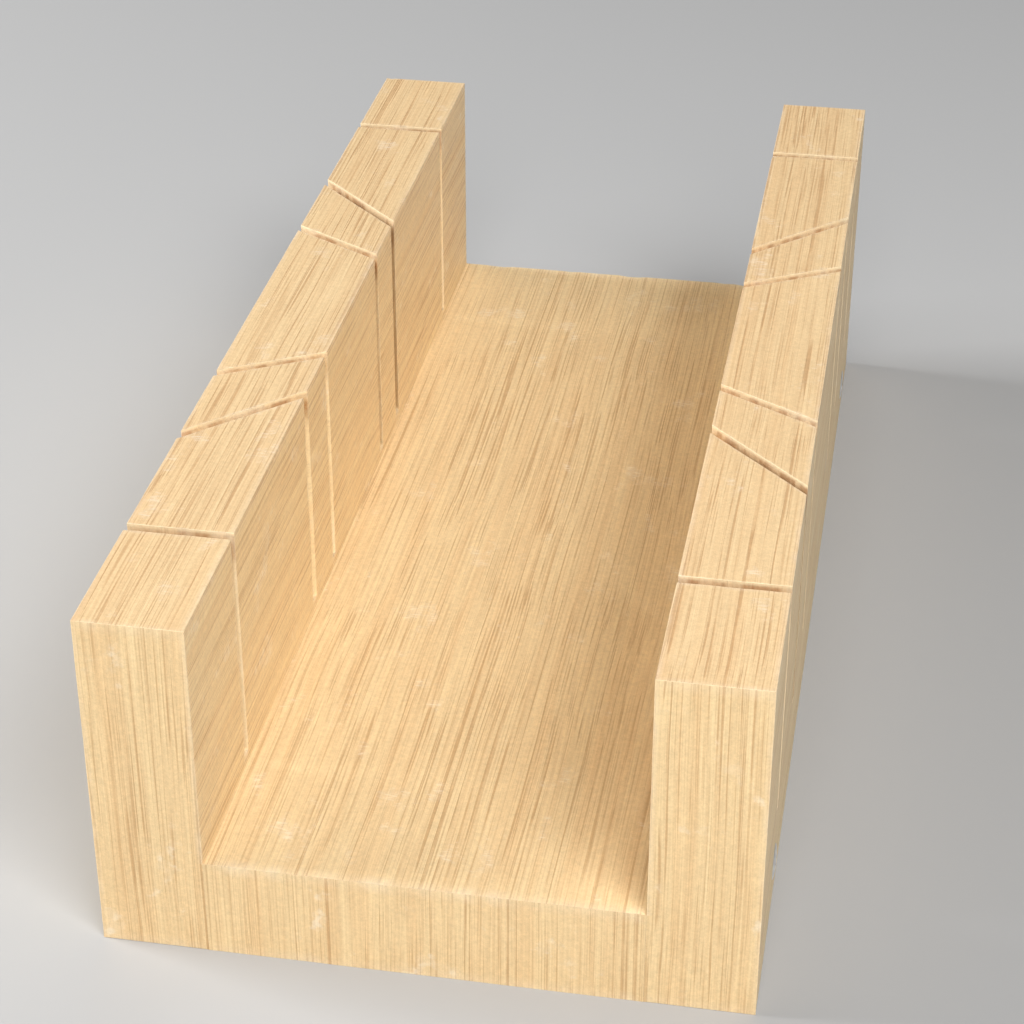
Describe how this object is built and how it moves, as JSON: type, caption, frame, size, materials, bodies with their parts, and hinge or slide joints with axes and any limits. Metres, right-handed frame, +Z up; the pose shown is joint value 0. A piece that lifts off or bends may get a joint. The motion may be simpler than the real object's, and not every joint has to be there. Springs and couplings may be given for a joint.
{
  "type": "miter box",
  "caption": "Open-ended wooden trough of a base board and two side boards, with square, 45 and 60 degree saw slots that guide a hand saw.",
  "frame": {"origin": "middle of the underside, which lies on the bench", "axes": "+X across the trough to the right side board, +Y along the trough to its back end, +Z up"},
  "size_m": [0.1208, 0.25, 0.07],
  "materials": {
    "base_wood": "planed straight-grained beech, unvarnished, fine brown flecks along the board",
    "side_wood": "planed straight-grained beech, unvarnished, fine brown flecks along the board",
    "screw_steel": "bright zinc plate"
  },
  "bodies": {
    "root": {"base_board": "base_wood", "left_side": "side_wood", "right_side": "side_wood", "screw_left_front": "screw_steel", "screw_left_back": "screw_steel", "screw_right_front": "screw_steel", "screw_right_back": "screw_steel"}
  },
  "joints": []
}
